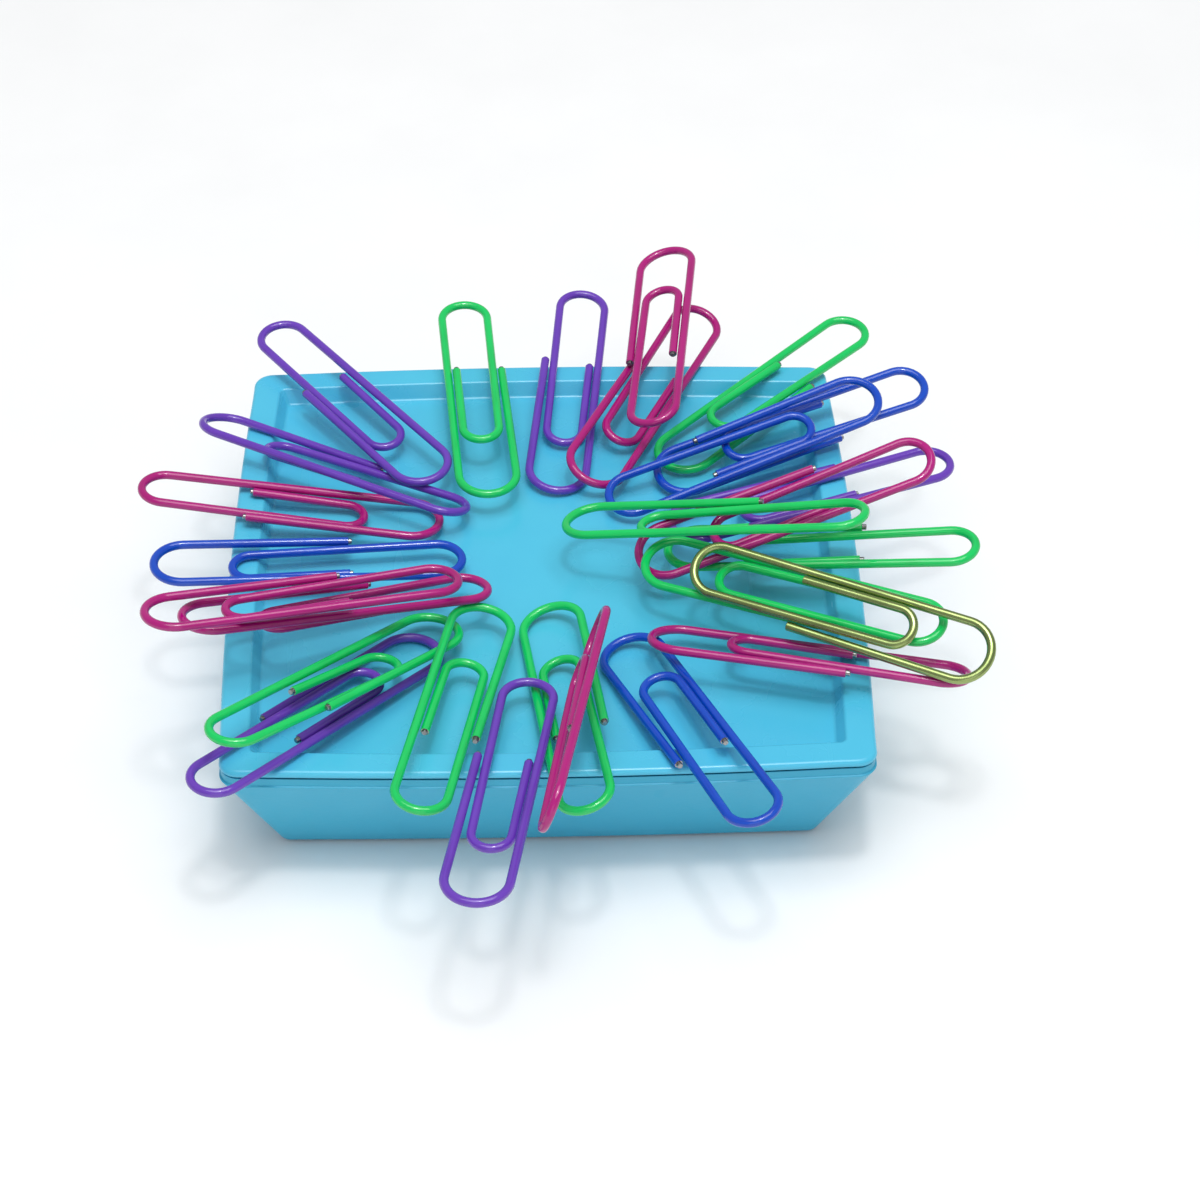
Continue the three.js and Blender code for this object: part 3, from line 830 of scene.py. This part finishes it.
@dataclass
class WireClip:
    """One bent clip: a steel wire in a coating that stops just short of both cut ends."""

    node: str
    coating: Coating
    seed: int
    radius: float = 0.7 * MM
    core: float = 0.46 * MM
    bare: float = 0.6 * MM
    least_bare: float = 0.55
    most_bare: float = 1.15
    chamfer: float = 0.09 * MM
    skin_step: float = 0.01 * MM
    skin_round: float = 0.08 * MM
    sides: int = 16
    run_unit: float = 10 * MM

    def end_rings(self, tip: Ring, sign: float, bare: float) -> list[Ring]:
        """Lists the rings of one cut end.

        Args:
            tip: The end's place, direction, core radius and run.
            sign: 1 where the wire starts, -1 where it ends.
            bare: How much of the core shows, 0 for a wire without a coating.

        Returns:
            The rings, from the tip inwards.
        """
        steps = [(0.0, tip.radius - self.chamfer, False), (self.chamfer, tip.radius, False)]
        if bare:
            skin = bare + self.skin_step
            steps += [(bare, tip.radius, False),
                      (skin, self.radius - self.skin_round, True),
                      (skin + self.skin_round, self.radius, True)]
        return [Ring(tip.middle + tip.way * along * sign, tip.way, radius,
                     tip.run + along * sign, coated) for along, radius, coated in steps]

    def rings(self) -> list[Ring]:
        """Lists the wire's rings.

        Returns:
            The rings, from one cut end to the other.
        """
        line = WirePath(self.node).points()
        runs = [0.0]
        for first, second in zip(line, line[1:]):
            runs.append(runs[-1] + (second - first).length)
        ways = [(second - first).normalized() for first, second in zip(line, line[1:])]
        plated = self.coating is Coating.GOLD
        core = self.radius if plated else self.core
        chance = random.Random(self.seed)
        bare = [0.0 if plated else self.bare * chance.uniform(self.least_bare, self.most_bare)
                for _ in range(2)]
        out = self.end_rings(Ring(line[0], ways[0], core, 0.0, False), 1.0, bare[0])
        for i in range(1, len(line) - 1):
            way = (ways[i - 1] + ways[i]).normalized()
            out.append(Ring(line[i], way, self.radius, runs[i], True))
        last = self.end_rings(Ring(line[-1], ways[-1], core, runs[-1], False), -1.0, bare[1])
        return out + last[::-1]

    def sweep(self) -> tuple[bmesh.types.BMesh, list[bmesh.types.BMFace]]:
        """Sweeps the wire through its rings.

        Returns:
            The mesh, and those of its faces that aren't coated.
        """
        rings = self.rings()
        start = rings[0]
        bm = bmesh.new()
        skin = bm.verts.layers.float_vector.new(WIRE_SKIN)
        turn = Vector((0, 0, 1)).rotation_difference(start.way)
        made = bmesh.ops.create_circle(
            bm, cap_ends=True, segments=self.sides, radius=1,
            matrix=Matrix.LocRotScale(start.middle, turn, [start.radius] * 3))
        for i, v in enumerate(made["verts"]):
            angle = 2 * math.pi * i / self.sides
            v[skin] = (math.cos(angle), math.sin(angle), start.run / self.run_unit)
        metal = bm.faces[:]
        edges = bm.edges[:]
        for before, after in zip(rings, rings[1:]):
            made = bmesh.ops.extrude_edge_only(bm, edges=edges)["geom"]
            verts = [part for part in made if isinstance(part, bmesh.types.BMVert)]
            faces = [part for part in made if isinstance(part, bmesh.types.BMFace)]
            fresh = set(verts)
            edges = [part for part in made if isinstance(part, bmesh.types.BMEdge)
                     and all(v in fresh for v in part.verts)]
            swing = before.way.rotation_difference(after.way).to_matrix().to_4x4()
            size = Matrix.Scale(after.radius / before.radius, 4)
            move = Matrix.Translation(after.middle) @ swing @ size
            bmesh.ops.transform(bm, matrix=move @ Matrix.Translation(-before.middle), verts=verts)
            for v in verts:
                v[skin] = (v[skin][0], v[skin][1], after.run / self.run_unit)
            if not (before.coated and after.coated):
                metal.extend(faces)
        metal.extend(bmesh.ops.contextual_create(bm, geom=edges)["faces"])
        bmesh.ops.recalc_face_normals(bm, faces=bm.faces[:])
        return bm, metal

    def build(self) -> bpy.types.Object:
        """Sweeps the wire, dresses it and puts it in its CAD node's place.

        Returns:
            The clip.
        """
        bm, metal = self.sweep()
        if self.coating is not Coating.GOLD:
            for face in metal:
                face.material_index = 1
        materials = [self.coating.value.material(), Housing.STEEL.value.material()]
        piece = finished(bm, self.node + "_wire", materials)
        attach(piece, self.node)
        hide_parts(self.node)
        "clip_" + self.coating.name.lower()
        return piece


def finished(bm: bmesh.types.BMesh, name: str,
             materials: list[bpy.types.Material]) -> bpy.types.Object:
    """Turns a mesh in work into an object, shaded smooth up to sharp edges.

    Args:
        bm: The mesh in work, in metres, in place.
        name: The object's name.
        materials: Its materials, in order.

    Returns:
        The object, at the origin.
    """
    mesh = bpy.data.meshes.new(name)
    bm.to_mesh(mesh)
    bm.free()
    for material in materials:
        mesh.materials.append(material)
    mesh.shade_smooth()
    mesh.set_sharp_from_angle(angle=SHARP_ANGLE)
    piece = bpy.data.objects.new(name, mesh)
    bpy.context.scene.collection.objects.link(piece)
    return piece


@dataclass
class Fittings:
    """The CAD nodes that keep their own shape: magnet, foam, pad and screws."""

    finishes: dict[str, Housing] = field(default_factory=lambda: {
        "disc_magnet": Housing.FERRITE,
        "magnet_foam_pad": Housing.FOAM,
        "non_slip_pad": Housing.PAD,
        **{f"case_screw_{number}": Housing.SCREW for number in (1, 2, 3, 4)},
    })

    def build(self) -> None:
        """Gives each node its finish."""
        for name, finish in self.finishes.items():
            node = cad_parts[name]
            node.data.materials.clear()
            node.data.materials.append(finish.value.material())


@dataclass
class ClipRing:
    """All the clips round the magnet."""

    first_seed: int = 7

    def build(self) -> None:
        """Builds each clip from its CAD node, in the colour that ends its name."""
        names = sorted(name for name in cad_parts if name.startswith("clip_"))
        for seed, name in enumerate(names, self.first_seed):
            coating = Coating[name.rsplit("_", 1)[1].upper()]
            WireClip(name, coating, seed).build()


@dataclass(frozen=True)
class Lamp:
    """One square soft light. Sizes in metres, power in watts."""

    name: str
    place: tuple[float, float, float]
    size: float
    power: float

    def hang(self, aim: tuple[float, float, float]) -> None:
        """Hangs the light in its place, facing a point.

        Args:
            aim: The point that it faces.
        """
        data = bpy.data.lights.new(self.name, "AREA")
        data.energy = self.power
        data.size = self.size
        lamp = bpy.data.objects.new(self.name, data)
        turn = (Vector(aim) - Vector(self.place)).to_track_quat("-Z", "Y").to_matrix().to_4x4()
        lamp.matrix_world = Matrix.Translation(self.place) @ turn
        bpy.context.scene.collection.objects.link(lamp)


@dataclass
class Studio:
    """The pale floor, the lights and the camera. The camera's place is in millimetres."""

    focal: float = 91.827
    sensor: float = 36
    nearest: float = 0.01
    farthest: float = 20
    place: tuple[float, float, float] = (-1.81055, -372.77692, 338.10687)
    yaw: float = -0.0286904
    pitch: float = 0.7181573
    roll: float = 0.0026489
    floor_half: float = 3
    floor_drop: float = 0.2 * MM
    sky: tuple[float, float, float, float] = (0.96, 0.985, 1, 1)
    sky_strength: float = 0.43
    aim: tuple[float, float, float] = (0, 0, 0.02)
    lamps: tuple[Lamp, ...] = (
        Lamp("overhead_softbox", (0.04, -0.10, 0.9), 0.7, 5.0),
        Lamp("key_light", (0.04, -0.14, 0.85), 0.1, 1.25),
        Lamp("front_light", (0.0, -1.0, 0.3), 0.7, 1.0),
    )

    def camera(self) -> None:
        """Sets the camera where the photograph was taken from."""
        level = Vector((math.cos(self.yaw), math.sin(self.yaw), 0))
        ahead = Vector((-math.sin(self.yaw), math.cos(self.yaw), 0))
        zenith = Vector((0, 0, 1))
        view = ahead * math.cos(self.pitch) - zenith * math.sin(self.pitch)
        above = ahead * math.sin(self.pitch) + zenith * math.cos(self.pitch)
        right = level * math.cos(self.roll) + above * math.sin(self.roll)
        up = above * math.cos(self.roll) - level * math.sin(self.roll)
        data = bpy.data.cameras.new("photo_camera")
        data.lens = self.focal
        data.sensor_width = self.sensor
        data.clip_start = self.nearest
        data.clip_end = self.farthest
        camera = bpy.data.objects.new("photo_camera", data)
        axes = Matrix((right, up, -view)).transposed().to_4x4()
        camera.matrix_world = Matrix.Translation(Vector(self.place) * MM) @ axes
        bpy.context.scene.collection.objects.link(camera)
        bpy.context.scene.camera = camera

    def floor(self) -> None:
        """Lays a wide pale floor just under the cushion."""
        bm = bmesh.new()
        bmesh.ops.create_grid(bm, x_segments=1, y_segments=1, size=self.floor_half)
        bmesh.ops.translate(bm, vec=(0, 0, -self.floor_drop), verts=bm.verts[:])
        finish = MouldedPlastic("pale_board", srgb(252, 252, 252), srgb(248, 248, 248), 0.85,
                                grain=400, depth=2 * MICRON, scuffed=0)
        floor = finished(bm, "studio_floor", [finish.material()])

    def world(self) -> None:
        """Fills the shadows with an even pale sky."""
        world = bpy.data.worlds.new("soft_sky")
        world.use_nodes = True
        background = world.node_tree.nodes["Background"]
        background.inputs["Color"].default_value = self.sky
        background.inputs["Strength"].default_value = self.sky_strength
        bpy.context.scene.world = world

    def build(self) -> None:
        """Sets the whole studio up."""
        bpy.context.scene.view_settings.view_transform = "Standard"
        self.world()
        self.camera()
        self.floor()
        for lamp in self.lamps:
            lamp.hang(self.aim)


def main() -> None:
    """Builds the studio and the whole cushion."""
    logging.basicConfig(level=logging.INFO, format="%(message)s")
    for part in (Studio(), TrayCase(), Fittings(), ClipRing()):
        part.build()


if __name__ == "__main__":
    main()
